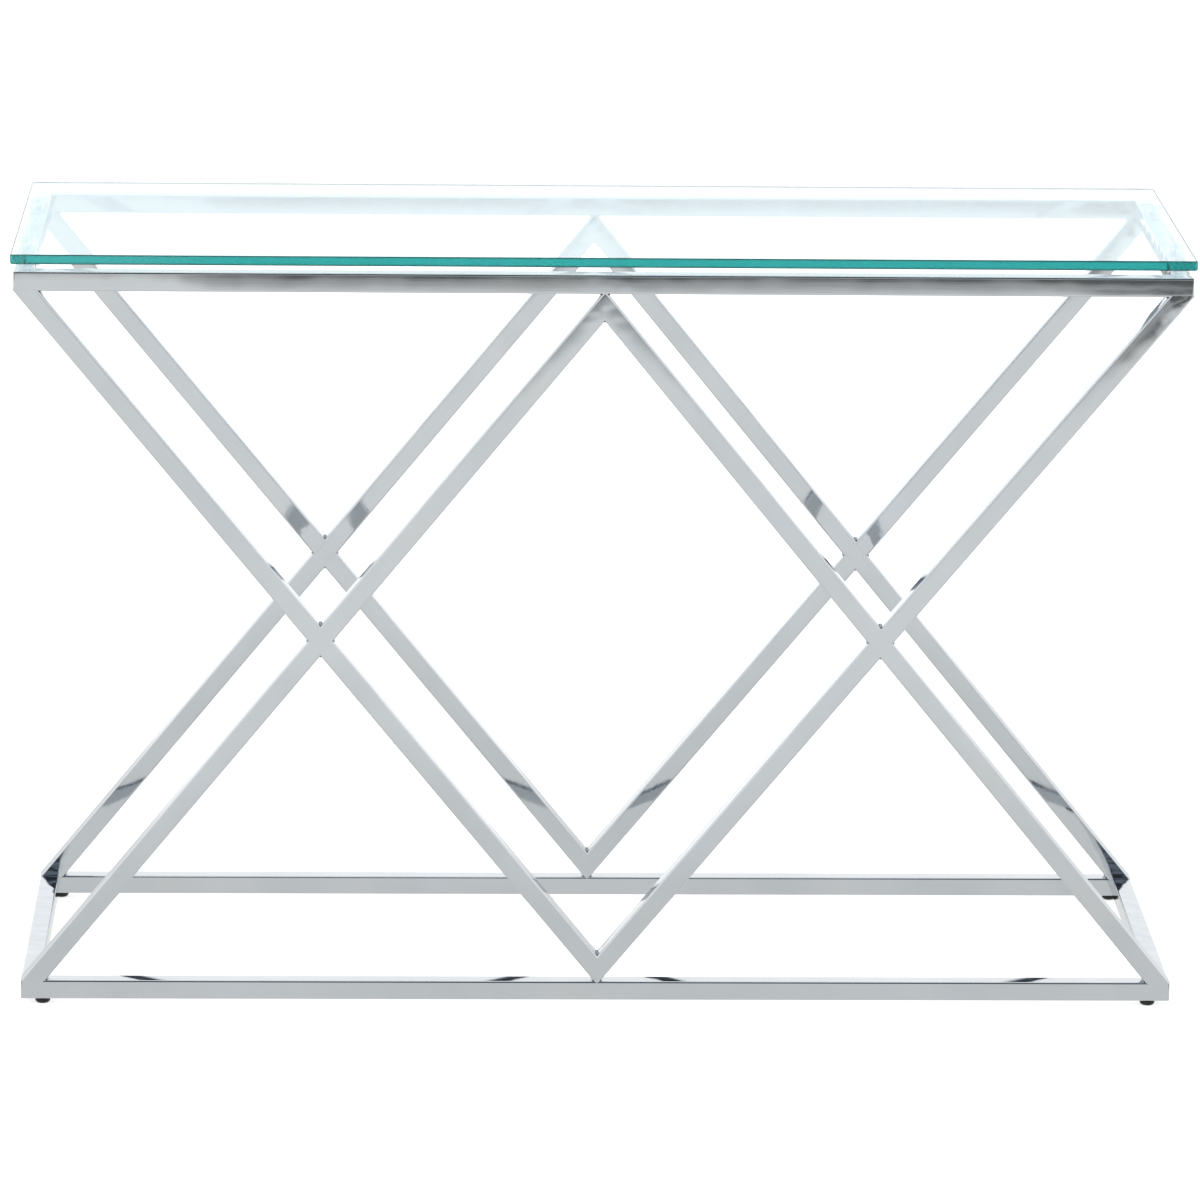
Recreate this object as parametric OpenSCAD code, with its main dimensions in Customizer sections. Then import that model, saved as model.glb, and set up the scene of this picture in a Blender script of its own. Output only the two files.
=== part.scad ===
// Console table: a glass top on clear pads over a welded frame of polished square tube.
// The frame is two upright lattices, front and back, joined by four short rails at the ends.
// Origin: on the floor, at the middle of the table's footprint. +X runs along the table's
// length, +Y points to its back and +Z up. Millimetres.

/* [Table] */
// Length of the glass top, and of the whole table
table_w = 1200; // [900:10:1500]
// Depth of the glass top, and of the whole table
table_d = 400; // [360:10:500]
// Height from the floor to the top of the glass
table_h = 792; // [650:1:900]
// How far the glass stands out past the frame on every side
overhang = 2; // [1:1:10]

/* [Glass top] */
// Thickness of the glass
glass_t = 10; // [6:1:12]
// Radius of the glass's four corners
glass_corner_r = 3; // [2:0.5:10]
// Width of the small ground bevel along the glass's edges
glass_arris = 1; // [0.5:0.1:1.5]

/* [Tube] */
// Outside width of the square tube
tube = 20; // [18:1:25]
// Thickness of the tube's wall
tube_wall = 1.2; // [1:0.1:1.5]
// Outside radius of the tube's four long edges
tube_edge_r = 1.8; // [1.8:0.1:3]
// Radius of the frame's four outer corners, where the mitres are ground round
frame_corner_r = 2.4; // [2:0.1:3]

/* [Diagonals] */
// Width of the flat where a pair of diagonals meets a rail at the table's middle
apex_flat = 6; // [4:1:12]

/* [Pads] */
// Diameter of the clear pads under the glass
pad_d = 19; // [14:1:20]
// Height of the clear pads, and of the gap between frame and glass
pad_h = 8; // [6:1:12]
// Distance of each pad from the table's middle, front to back
pad_y = 105; // [60:5:150]
// Diameter of the peg under each pad
pad_peg_d = 5; // [4:0.5:6]

/* [Feet] */
// Diameter of the feet
foot_d = 15; // [13:1:18]
// Height of the feet below the frame
foot_h = 6; // [5:1:10]
// Distance of each foot's middle from the end of the frame
foot_inset = 23; // [20:1:60]
// Diameter of the plug that holds each foot in the tube
foot_plug_d = 8; // [6:0.5:9]

/* [Hidden] */
$fn = 48;

// The frame's outside size, and the heights where its parts meet
frame_w = table_w - 2 * overhang;
frame_d = table_d - 2 * overhang;
glass_z = table_h - glass_t;
frame_top_z = glass_z - pad_h;
low_z = foot_h + tube;
high_z = frame_top_z - tube;
// Middle line of the rails, from the table's middle
rail_x = (frame_w - tube) / 2;
rail_y = (frame_d - tube) / 2;
// Slope and length of a long diagonal's upper edge
run = (frame_w - apex_flat) / 2;
rise = high_z - low_z;
slope = atan2(rise, run);
slant = norm([run, rise]);
// Spare length that the cuts take off, more than any tube's own width
spare = 100;
// Pad: rounding of its two rims, the peg's length and the bevel at the peg's tip
pad_rim_r = 0.8;
pad_peg_len = 8;
pad_peg_bevel = 1;
// Foot: height of its straight rim, radius of the rounding below it and size of the plug
foot_rim = 1.5;
foot_round_r = foot_h - foot_rim;
foot_plug_len = 12;
foot_barb_d = foot_plug_d + 0.8;
foot_barb_h = 1.6;
foot_barb_pitch = 3;
foot_barb_count = 3;

// A square with round corners, made of true arcs and centred on the origin.
module round_square(side, r) {
    inner = side - 2 * r;
    square([side, inner], center = true);
    square([inner, side], center = true);
    for (x = [-1, 1], y = [-1, 1])
        translate([x * inner / 2, y * inner / 2]) circle(r = r);
}

// Square tube along +X from x = 0, centred on the X axis.
module square_tube(len) {
    rotate([90, 0, 90])
        linear_extrude(height = len)
            difference() {
                round_square(tube, tube_edge_r);
                round_square(tube - 2 * tube_wall, tube_edge_r - tube_wall);
            }
}

// Plan of a plate or a ring, with its four corners rounded.
module round_plan(w, d, r) {
    square([w, d - 2 * r], center = true);
    square([w - 2 * r, d], center = true);
    for (x = [-1, 1], y = [-1, 1])
        translate([x * (w / 2 - r), y * (d / 2 - r)]) circle(r = r);
}

// Keeps what lies inside the frame's plan, so that its four outer corners are round.
module within_frame() {
    intersection() {
        children();
        linear_extrude(height = table_h) round_plan(frame_w, frame_d, frame_corner_r);
    }
}

// The front rail of a ring, with both ends mitred. z is the rail's underside.
module mitred_rail(len, z) {
    intersection() {
        translate([-len / 2, 0, z + tube / 2]) square_tube(len);
        translate([0, -tube / 2, z - 1])
            linear_extrude(height = tube + 2)
                polygon([
                    [-len / 2, 0], [len / 2, 0],
                    [len / 2 - tube, tube], [-len / 2 + tube, tube]
                ]);
    }
}

// Long rail at the front (side = -1) or the back (side = 1).
module long_rail(side, z) {
    within_frame()
        mirror([0, side > 0 ? 1 : 0, 0])
            translate([0, -rail_y, 0]) mitred_rail(frame_w, z);
}

// Short rail at the left end (side = -1) or the right end (side = 1).
module end_rail(side, z) {
    within_frame()
        rotate([0, 0, side * 90])
            translate([0, -rail_x, 0]) mitred_rail(frame_d, z);
}

// Top rail at an end, with the two holes that the pads' pegs sit in.
module top_end_rail(side) {
    color("silver")
        difference() {
            end_rail(side, high_z);
            for (y = [-1, 1])
                translate([side * rail_x, y * pad_y, frame_top_z - 2 * tube_wall])
                    cylinder(d = pad_peg_d, h = 4 * tube_wall);
        }
}

// Bottom rail at the front or back, with the two holes that the feet's plugs sit in.
module bottom_long_rail(side) {
    color("silver")
        difference() {
            long_rail(side, foot_h);
            for (x = [-1, 1])
                translate([x * (frame_w / 2 - foot_inset), side * rail_y, foot_h - 2 * tube_wall])
                    cylinder(d = foot_plug_d, h = 4 * tube_wall);
        }
}

// Everything above (side = 1) or below (side = -1) the left long diagonal's tube.
module beside_long_diagonal(side) {
    translate([-frame_w / 2, 0, low_z])
        rotate([0, -slope, 0])
            translate([-spare, -tube, side > 0 ? 0 : -tube - slant])
                cube([slant + 2 * spare, 2 * tube, slant]);
}

// The space between the rails on the left of the table's middle.
module left_bay() {
    translate([-frame_w / 2, -tube, low_z]) cube([frame_w / 2, 2 * tube, rise]);
}

// Tube that climbs from the bottom left corner to the middle of the top, cut to fit between
// the rails and mitred at the table's middle. It lies on the XZ plane.
module climbing_tube() {
    intersection() {
        translate([-frame_w / 2, 0, low_z])
            rotate([0, -slope, 0])
                translate([-spare, 0, -tube / 2]) square_tube(slant + 2 * spare);
        left_bay();
    }
}

// The same tube upside down: it falls from the top left corner to the middle of the bottom.
module falling_tube() {
    translate([0, 0, low_z + high_z]) mirror([0, 0, 1]) climbing_tube();
}

// Puts a left-hand piece made on the XZ plane into one of the four places.
module place_in_lattice(x_side, y_side) {
    within_frame()
        translate([0, y_side * rail_y, 0])
            mirror([x_side > 0 ? 1 : 0, 0, 0])
                children();
}

module long_diagonal(x_side, y_side) {
    color("silver") place_in_lattice(x_side, y_side) climbing_tube();
}

// Strut from a top corner down to the long diagonal.
module upper_strut(x_side, y_side) {
    color("silver")
        place_in_lattice(x_side, y_side)
            intersection() {
                falling_tube();
                beside_long_diagonal(1);
            }
}

// Strut from the long diagonal down to the middle of the bottom rail.
module lower_strut(x_side, y_side) {
    color("silver")
        place_in_lattice(x_side, y_side)
            intersection() {
                falling_tube();
                beside_long_diagonal(-1);
            }
}

// Section of a plate along one of its sides: a strip with its corners bevelled.
module bevelled_strip(len) {
    polygon([
        [-len / 2 + glass_arris, 0], [len / 2 - glass_arris, 0],
        [len / 2, glass_arris], [len / 2, glass_t - glass_arris],
        [len / 2 - glass_arris, glass_t], [-len / 2 + glass_arris, glass_t],
        [-len / 2, glass_t - glass_arris], [-len / 2, glass_arris]
    ]);
}

module glass_top() {
    color([0.62, 0.86, 0.84, 0.4])
        translate([0, 0, glass_z])
            intersection() {
                linear_extrude(height = glass_t) round_plan(table_w, table_d, glass_corner_r);
                translate([0, table_d / 2, 0])
                    rotate([90, 0, 0]) linear_extrude(height = table_d) bevelled_strip(table_w);
                translate([-table_w / 2, 0, 0])
                    rotate([90, 0, 90]) linear_extrude(height = table_w) bevelled_strip(table_d);
            }
}

// Half section of a pad: a disc with round rims.
module pad_profile() {
    square([pad_d / 2 - pad_rim_r, pad_h]);
    translate([0, pad_rim_r]) square([pad_d / 2, pad_h - 2 * pad_rim_r]);
    for (z = [pad_rim_r, pad_h - pad_rim_r])
        translate([pad_d / 2 - pad_rim_r, z]) circle(r = pad_rim_r);
}

// Clear pad that the glass lies on, with a peg that sits in the rail's hole.
module pad(x_side, y_side) {
    color([0.92, 0.96, 0.96, 0.5])
        translate([x_side * rail_x, y_side * pad_y, frame_top_z]) {
            rotate_extrude() pad_profile();
            rotate_extrude()
                polygon([
                    [0, 0], [pad_peg_d / 2, 0],
                    [pad_peg_d / 2, pad_peg_bevel - pad_peg_len],
                    [pad_peg_d / 2 - pad_peg_bevel, -pad_peg_len], [0, -pad_peg_len]
                ]);
        }
}

// Half section of a foot: a low dome with a flat sole, as wide as its rim at the top.
module foot_profile() {
    sole = foot_d / 2 - foot_round_r;
    square([sole, foot_h]);
    translate([0, foot_round_r]) square([foot_d / 2, foot_rim]);
    intersection() {
        translate([sole, foot_round_r]) circle(r = foot_round_r);
        square([foot_d / 2, foot_round_r]);
    }
}

// Black foot with the barbed plug that holds it in the tube.
module foot(x_side, y_side) {
    color([0.06, 0.06, 0.06])
        translate([x_side * (frame_w / 2 - foot_inset), y_side * rail_y, 0]) {
            rotate_extrude() foot_profile();
            translate([0, 0, foot_h - 1]) cylinder(d = foot_plug_d, h = foot_plug_len + 1);
            for (i = [0 : foot_barb_count - 1])
                translate([0, 0, foot_h + tube_wall + i * foot_barb_pitch])
                    rotate_extrude()
                        polygon([
                            [0, 0], [foot_barb_d / 2, 0],
                            [foot_plug_d / 2, foot_barb_h], [0, foot_barb_h]
                        ]);
        }
}

glass_top();
pad(-1, -1);  // pad_front_left
pad(1, -1);  // pad_front_right
pad(-1, 1);  // pad_back_left
pad(1, 1);  // pad_back_right
color("silver") long_rail(-1, high_z);  // top_rail_front
color("silver") long_rail(1, high_z);  // top_rail_back
top_end_rail(-1);  // top_rail_left
top_end_rail(1);  // top_rail_right
bottom_long_rail(-1);  // bottom_rail_front
bottom_long_rail(1);  // bottom_rail_back
color("silver") end_rail(-1, foot_h);  // bottom_rail_left
color("silver") end_rail(1, foot_h);  // bottom_rail_right
long_diagonal(-1, -1);  // long_diagonal_front_left
long_diagonal(1, -1);  // long_diagonal_front_right
long_diagonal(-1, 1);  // long_diagonal_back_left
long_diagonal(1, 1);  // long_diagonal_back_right
upper_strut(-1, -1);  // upper_strut_front_left
upper_strut(1, -1);  // upper_strut_front_right
upper_strut(-1, 1);  // upper_strut_back_left
upper_strut(1, 1);  // upper_strut_back_right
lower_strut(-1, -1);  // lower_strut_front_left
lower_strut(1, -1);  // lower_strut_front_right
lower_strut(-1, 1);  // lower_strut_back_left
lower_strut(1, 1);  // lower_strut_back_right
foot(-1, -1);  // foot_front_left
foot(1, -1);  // foot_front_right
foot(-1, 1);  // foot_back_left
foot(1, 1);  // foot_back_right
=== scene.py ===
"""Looks of a console table: a clear glass top on four clear pads, over a welded lattice of
polished square tube on black feet. Every size is in metres, in the table's own axes: +X runs
along its length, +Y points to its back and +Z up, from the floor at the middle of its
footprint."""

import math

import bmesh
import bpy
from bpy.props import FloatProperty, FloatVectorProperty, IntProperty, PointerProperty
from mathutils import Matrix, Vector


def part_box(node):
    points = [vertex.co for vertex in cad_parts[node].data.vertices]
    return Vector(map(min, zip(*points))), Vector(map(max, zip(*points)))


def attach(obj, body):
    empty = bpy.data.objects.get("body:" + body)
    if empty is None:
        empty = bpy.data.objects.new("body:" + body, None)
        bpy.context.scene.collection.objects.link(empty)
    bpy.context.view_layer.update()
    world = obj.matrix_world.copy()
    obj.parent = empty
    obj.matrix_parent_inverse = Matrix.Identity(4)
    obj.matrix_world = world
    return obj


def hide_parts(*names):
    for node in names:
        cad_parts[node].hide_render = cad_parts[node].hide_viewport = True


bl_info = {
    "name": "Console Table",
    "version": (1, 0, 0),
    "blender": (4, 5, 0),
    "location": "3D View > Sidebar > Console Table",
    "description": "Builds the glass, tubes, welds, pads, feet and studio of a console table",
    "category": "Add Mesh",
}

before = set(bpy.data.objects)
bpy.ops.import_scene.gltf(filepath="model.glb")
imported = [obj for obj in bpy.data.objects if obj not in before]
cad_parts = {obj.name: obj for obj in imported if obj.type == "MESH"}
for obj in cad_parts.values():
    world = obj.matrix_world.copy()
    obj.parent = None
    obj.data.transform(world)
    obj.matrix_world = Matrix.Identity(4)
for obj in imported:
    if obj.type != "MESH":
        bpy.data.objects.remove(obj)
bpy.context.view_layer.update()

# What the frame says: where its rails and its glass lie, and how thick they are.
TOP_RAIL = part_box("top_rail_front")
BOTTOM_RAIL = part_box("bottom_rail_front")
END_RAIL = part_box("top_rail_left")
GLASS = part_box("glass_top")
TUBE_WIDTH = TOP_RAIL[1].z - TOP_RAIL[0].z
HALF_LENGTH = TOP_RAIL[1].x
HALF_DEPTH = END_RAIL[1].y
LOW_Z = BOTTOM_RAIL[1].z
HIGH_Z = TOP_RAIL[0].z
RAIL_X = HALF_LENGTH - TUBE_WIDTH / 2
RAIL_Y = HALF_DEPTH - TUBE_WIDTH / 2
SIDES_X = (("left", -1), ("right", 1))
SIDES_Y = (("front", -1), ("back", 1))
FAR_AWAY = Vector((0, 0, -10))


# ---- Settings ----


def length_setting(name, description, default):
    """A length in metres."""
    return FloatProperty(name=name, description=description, default=default, unit="LENGTH")


def colour_setting(name, description, default):
    """A colour."""
    return FloatVectorProperty(
        name=name, description=description, default=default, subtype="COLOR"
    )


def angle_setting(name, description, degrees):
    """An angle, given in degrees."""
    return FloatProperty(
        name=name, description=description, default=math.radians(degrees), subtype="ANGLE"
    )


class TubeSettings(bpy.types.PropertyGroup):
    """Sizes of the square tube and of the joints between tubes."""

    wall: length_setting("Wall", "Thickness of the tube's wall", 0.0012)
    edge_radius: length_setting("Edge radius", "Rounding of the tube's long edges", 0.0018)
    edge_steps: IntProperty(
        name="Edge steps", description="Faces across one rounded edge", default=6, min=2, max=12
    )
    crown: length_setting("Crown", "How far each side swells in its middle", 0.000057)
    corner_radius: length_setting("Corner radius", "Rounding of the four ground corners", 0.0024)
    apex_flat: length_setting("Apex flat", "Flat where two diagonals meet a rail", 0.006)
    peg_hole: length_setting("Peg hole", "Diameter of the holes under the pads", 0.005)
    plug_hole: length_setting("Plug hole", "Diameter of the holes over the feet", 0.008)
    colour: colour_setting("Plating", "Colour of the plating", (0.585, 0.612, 0.628))


class WeldSettings(bpy.types.PropertyGroup):
    """Sizes of the small weld beads left in the corners between tubes."""

    bead_radius: length_setting("Bead radius", "Radius of a weld bead", 0.0008)
    ripple_pitch: length_setting("Ripple pitch", "Distance between a bead's ripples", 0.0012)
    ripple_depth: FloatProperty(
        name="Ripple depth", description="How much a ripple swells the bead", default=0.12,
        min=0, max=0.5,
    )
    colour: colour_setting("Bead", "Colour of the plated weld beads", (0.42, 0.43, 0.45))


class GlassSettings(bpy.types.PropertyGroup):
    """Sizes and tint of the glass top."""

    corner_radius: length_setting("Corner radius", "Rounding of the four corners", 0.003)
    arris: length_setting("Arris", "Width of the ground bevel along the edges", 0.001)
    tint: colour_setting("Tint", "Colour that deep glass turns light to", (0.11, 0.75, 0.73))
    tint_density: FloatProperty(
        name="Tint density", description="Strength of the tint for each metre of glass",
        default=11.0, min=0,
    )
    ground_tint: colour_setting("Ground edge", "Colour of the ground bevel", (0.5, 0.7, 0.68))
    end_tint: colour_setting("Ground end", "Colour of the two short edges", (0.08, 0.46, 0.42))
    end_clearness: FloatProperty(
        name="End clearness", description="How much of the light the short edges let through",
        default=0.6, min=0, max=1,
    )


class PadSettings(bpy.types.PropertyGroup):
    """Sizes of the clear pads under the glass."""

    rim_radius: length_setting("Rim radius", "Rounding of a pad's two rims", 0.0008)
    peg_diameter: length_setting("Peg diameter", "Diameter of the peg under a pad", 0.0048)
    wall: length_setting("Wall", "Thickness of a pad's wall and top", 0.0022)
    gap: length_setting("Gap", "Air left between a pad and what it touches", 0.0001)


class FootSettings(bpy.types.PropertyGroup):
    """Sizes of the moulded feet."""

    rim_height: length_setting("Rim height", "Height of a foot's straight rim", 0.0022)
    flare: length_setting("Flare", "How far the soft rim bulges under the table's weight", 0.0005)
    plug_diameter: length_setting("Plug diameter", "Diameter of the plug in the tube", 0.0076)
    colour: colour_setting("Foot", "Colour of the moulded feet", (0.007, 0.007, 0.0075))


class StudioSettings(bpy.types.PropertyGroup):
    """Camera, floor and light around the table."""

    camera_place: FloatVectorProperty(
        name="Camera place", description="Where the camera stands", subtype="TRANSLATION",
        unit="LENGTH", default=(-0.2078, -6.5434, 2.0573),
    )
    camera_heading: angle_setting("Heading", "How far the camera turns to the right", 1.861)
    camera_tilt: angle_setting("Tilt", "How far the camera looks down", 14.33)
    camera_roll: angle_setting("Roll", "How far the camera leans", 0.698)
    focal_length: FloatProperty(
        name="Focal length", description="Focal length of the lens in millimetres",
        default=192.2,
    )
    floor_size: length_setting("Floor size", "Side of the square floor", 60.0)
    paper_reach: length_setting("Paper reach", "How far the paper reaches to the camera", 3.15)


# ---- Node trees ----


# The sockets of a mix of two colours, counted among all the sockets of its node.
MIX_FACTOR, MIX_FIRST, MIX_SECOND = 0, 6, 7
MIX_RESULT = 2


def fill_sockets(tree, node, values):
    """Fills a node's input sockets with values or links."""
    for key, value in values.items():
        if isinstance(value, bpy.types.NodeSocket):
            tree.links.new(value, node.inputs[key])
        else:
            node.inputs[key].default_value = value


def add_node(tree, kind, inputs=None, **options):
    """Adds a node, sets its options, and fills its sockets with values or links."""
    node = tree.nodes.new(kind)
    for name, value in options.items():
        setattr(node, name, value)
    fill_sockets(tree, node, inputs or {})
    return node


def add_step(tree, kind, inputs=None, **options):
    """Adds a node and returns its first output."""
    return add_node(tree, kind, inputs, **options).outputs[0]


def new_tree(name, kind, inputs, outputs):
    """Makes a node group from the names of its sockets, listed by kind, and returns it with
    its own inputs and outputs."""
    tree = bpy.data.node_groups.new(name, kind)
    for direction, sockets in (("INPUT", inputs), ("OUTPUT", outputs)):
        for socket_kind, labels in sockets.items():
            for label in labels:
                tree.interface.new_socket(
                    label, in_out=direction, socket_type=f"NodeSocket{socket_kind}"
                )
    return tree, tree.nodes.new("NodeGroupInput").outputs, tree.nodes.new("NodeGroupOutput").inputs


def maths(tree, operation, *values):
    """One step of arithmetic on numbers."""
    return add_step(tree, "ShaderNodeMath", dict(enumerate(values)), operation=operation)


def vector_maths(tree, operation, *values):
    """One step of arithmetic on vectors."""
    return add_step(tree, "ShaderNodeVectorMath", dict(enumerate(values)), operation=operation)


def scaled_vector(tree, vector, scale):
    """A vector made longer or shorter."""
    inputs = {"Vector": vector, "Scale": scale}
    return add_step(tree, "ShaderNodeVectorMath", inputs, operation="SCALE")


def distance(tree, place, other):
    """How far apart two places are."""
    inputs = {0: place, 1: other}
    node = add_node(tree, "ShaderNodeVectorMath", inputs, operation="DISTANCE")
    return node.outputs["Value"]


def vector_of(tree, *parts):
    """A vector made of its parts."""
    return add_step(tree, "ShaderNodeCombineXYZ", dict(enumerate(parts)))


def parts_of(tree, vector):
    """The three parts of a vector."""
    return tuple(add_node(tree, "ShaderNodeSeparateXYZ", {0: vector}).outputs)


def mixed_colour(tree, factor, first, second):
    """A mix of two colours."""
    inputs = {MIX_FACTOR: factor, MIX_FIRST: first, MIX_SECOND: second}
    return add_node(tree, "ShaderNodeMix", inputs, data_type="RGBA").outputs[MIX_RESULT]


def mapped(tree, value, from_low, from_high, to_low=0.0, to_high=1.0, smooth=False):
    """A value moved from one range to another and kept inside it."""
    inputs = {0: value, 1: from_low, 2: from_high, 3: to_low, 4: to_high}
    kind = "SMOOTHSTEP" if smooth else "LINEAR"
    return add_step(tree, "ShaderNodeMapRange", inputs, interpolation_type=kind)


def eased(tree, value, *ranges):
    """The same, with a soft start and a soft end."""
    return mapped(tree, value, *ranges, smooth=True)


def ramp(tree, value, stops):
    """A colour that changes with a value, through stops of a place and a colour."""
    node = add_node(tree, "ShaderNodeValToRGB", {0: value})
    elements = node.color_ramp.elements
    while len(elements) < len(stops):
        elements.new(1.0)
    for element, (place, colour) in zip(elements, stops):
        element.position = place
        element.color = (*colour, 1.0)
    return node.outputs[0]


def set_modifier_inputs(modifier, values):
    """Sets a Geometry Nodes modifier's inputs by their sockets' identifiers."""
    for item in modifier.node_group.interface.items_tree:
        if item.item_type == "SOCKET" and item.in_out == "INPUT" and item.name in values:
            modifier[item.identifier] = values[item.name]


# ---- Geometry Nodes ----

CUT_NUMBERS = (1, 2, 3)
HOLE_NUMBERS = (1, 2)
BORE_STEPS = 2
DRILL_SIDES = 32
MERGE_DISTANCE = 0.00001


def swept(tree, path, profile, **more):
    """A solid with one profile all along a path."""
    inputs = {"Curve": path, "Profile Curve": profile, "Fill Caps": True, **more}
    return add_step(tree, "GeometryNodeCurveToMesh", inputs)


def rounded_rectangle(tree, width, height, radius, steps):
    """A rectangle with round corners."""
    inputs = {"Width": width, "Height": height}
    outline = add_step(tree, "GeometryNodeCurvePrimitiveQuadrilateral", inputs)
    inputs = {"Curve": outline, "Count": steps, "Radius": radius}
    return add_step(tree, "GeometryNodeFilletCurve", inputs, mode="POLY")


def boolean(tree, operation, mesh, other):
    """What is left of a mesh after another is taken off it or laid over it."""
    node = add_node(tree, "GeometryNodeMeshBoolean", operation=operation, solver="EXACT")
    first = "Mesh 1" if operation == "DIFFERENCE" else "Mesh 2"
    tree.links.new(mesh, node.inputs[first])
    tree.links.new(other, node.inputs["Mesh 2"])
    return node.outputs[0]


def moved(tree, geometry, place, direction=None):
    """Geometry moved to a place, with its Z axis turned to a direction."""
    inputs = {"Geometry": geometry, "Translation": place}
    if direction is not None:
        inputs["Rotation"] = add_step(
            tree, "FunctionNodeAlignRotationToVector", {"Vector": direction}, axis="Z"
        )
    return add_step(tree, "GeometryNodeTransform", inputs)


def footprint_prism(tree, size, radius, steps):
    """An upright block with the frame's own plan, whose four corners are round."""
    width, depth, height = parts_of(tree, size)
    top = vector_of(tree, 0.0, 0.0, height)
    inputs = {"Start": scaled_vector(tree, top, -1.0), "End": top}
    line = add_step(tree, "GeometryNodeCurvePrimitiveLine", inputs)
    return swept(tree, line, rounded_rectangle(tree, width, depth, radius, steps))


def shaded(tree, mesh, crease_angle, material):
    """Smooth shading that stops at edges sharper than an angle, and one material."""
    inputs = {"Geometry": mesh, "Shade Smooth": True}
    smooth = add_step(tree, "GeometryNodeSetShadeSmooth", inputs, domain="FACE")
    angle = tree.nodes.new("GeometryNodeInputMeshEdgeAngle").outputs["Unsigned Angle"]
    crease = maths(tree, "GREATER_THAN", angle, crease_angle)
    inputs = {"Geometry": smooth, "Selection": crease, "Shade Smooth": False}
    creased = add_step(tree, "GeometryNodeSetShadeSmooth", inputs, domain="EDGE")
    whole = add_step(tree, "GeometryNodeRealizeInstances", {"Geometry": creased})
    return add_step(tree, "GeometryNodeSetMaterial", {"Geometry": whole, "Material": material})


def cut_tube_tree():
    """Square tube along a straight line, cut to length by up to three planes, drilled, and
    ground to the frame's round corners."""
    cuts = [f"Cut {number} {what}" for number in CUT_NUMBERS for what in ("place", "direction")]
    holes = [f"Hole {number} place" for number in HOLE_NUMBERS]
    inputs = {
        "Geometry": ["Section"],
        "Vector": ["Start", "End", "Plan", *cuts, *holes],
        "Float": [
            "Width", "Wall", "Edge radius", "Corner radius", "Cutter size", "Hole diameter",
            "Hole depth", "Crease angle",
        ],
        "Int": ["Edge steps"],
        "Material": ["Material"],
    }
    tree, given, result = new_tree(
        "Cut square tube", "GeometryNodeTree", inputs, {"Geometry": ["Geometry"]}
    )
    inputs = {"Start": given["Start"], "End": given["End"]}
    line = add_step(tree, "GeometryNodeCurvePrimitiveLine", inputs)
    path = add_step(tree, "GeometryNodeSetCurveNormal", {"Curve": line}, mode="Z_UP")
    section = add_step(tree, "GeometryNodeMeshToCurve", {"Mesh": given["Section"]})
    bore = maths(tree, "MULTIPLY_ADD", given["Wall"], -2.0, given["Width"])
    bore_radius = maths(tree, "SUBTRACT", given["Edge radius"], given["Wall"])
    inside = swept(tree, path, rounded_rectangle(tree, bore, bore, bore_radius, BORE_STEPS))
    tube = boolean(tree, "DIFFERENCE", swept(tree, path, section), inside)

    size = given["Cutter size"]
    cube = add_step(tree, "GeometryNodeMeshCube", {"Size": vector_of(tree, size, size, size)})
    for number in CUT_NUMBERS:
        direction = given[f"Cut {number} direction"]
        outwards = scaled_vector(tree, direction, maths(tree, "MULTIPLY", size, 0.5))
        place = vector_maths(tree, "ADD", given[f"Cut {number} place"], outwards)
        tube = boolean(tree, "DIFFERENCE", tube, moved(tree, cube, place, direction))

    radius = maths(tree, "MULTIPLY", given["Hole diameter"], 0.5)
    inputs = {"Vertices": DRILL_SIDES, "Radius": radius, "Depth": given["Hole depth"]}
    drill = add_step(tree, "GeometryNodeMeshCylinder", inputs)
    for name in holes:
        tube = boolean(tree, "DIFFERENCE", tube, moved(tree, drill, given[name]))

    prism = footprint_prism(tree, given["Plan"], given["Corner radius"], given["Edge steps"])
    tube = boolean(tree, "INTERSECT", tube, prism)
    inputs = {"Geometry": tube, "Distance": MERGE_DISTANCE}
    tube = add_step(tree, "GeometryNodeMergeByDistance", inputs)
    tree.links.new(shaded(tree, tube, given["Crease angle"], given["Material"]), result[0])
    return tree


def weld_bead_tree():
    """Rippled beads along every edge of the mesh that they are given, tapered at both ends."""
    inputs = {
        "Geometry": ["Seams"],
        "Float": ["Bead radius", "Ripple pitch", "Ripple depth", "Step", "Crease angle"],
        "Material": ["Material"],
    }
    tree, given, result = new_tree(
        "Weld beads", "GeometryNodeTree", inputs, {"Geometry": ["Geometry"]}
    )
    seams = add_step(tree, "GeometryNodeMeshToCurve", {"Mesh": given["Seams"]})
    inputs = {"Curve": seams, "Length": given["Step"]}
    path = add_step(tree, "GeometryNodeResampleCurve", inputs, mode="LENGTH")
    along = tree.nodes.new("GeometryNodeSplineParameter").outputs
    turns = maths(tree, "DIVIDE", along["Length"], given["Ripple pitch"])
    wave = maths(tree, "SINE", maths(tree, "MULTIPLY", turns, 2 * math.pi))
    place = tree.nodes.new("GeometryNodeInputPosition").outputs[0]
    inputs = {"Vector": place, "Scale": 260.0, "Detail": 2.0}
    noise = add_step(tree, "ShaderNodeTexNoise", inputs)
    least, change = 0.75, 0.5
    uneven = maths(tree, "MULTIPLY_ADD", noise, change, least)
    ripple = maths(tree, "MULTIPLY_ADD", wave, given["Ripple depth"], uneven)
    to_end = maths(tree, "SUBTRACT", 1.0, along["Factor"])
    from_end = maths(tree, "MINIMUM", along["Factor"], to_end)
    taper_length, end_width = 0.12, 0.25
    taper = eased(tree, from_end, 0.0, taper_length, end_width, 1.0)
    scale = maths(tree, "MULTIPLY", maths(tree, "MULTIPLY", ripple, taper), given["Bead radius"])
    ring = add_step(tree, "GeometryNodeCurvePrimitiveCircle", {"Resolution": 12, "Radius": 1.0})
    beads = swept(tree, path, ring, Scale=scale)
    tree.links.new(shaded(tree, beads, given["Crease angle"], given["Material"]), result[0])
    return tree


# ---- Pieces ----

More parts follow.
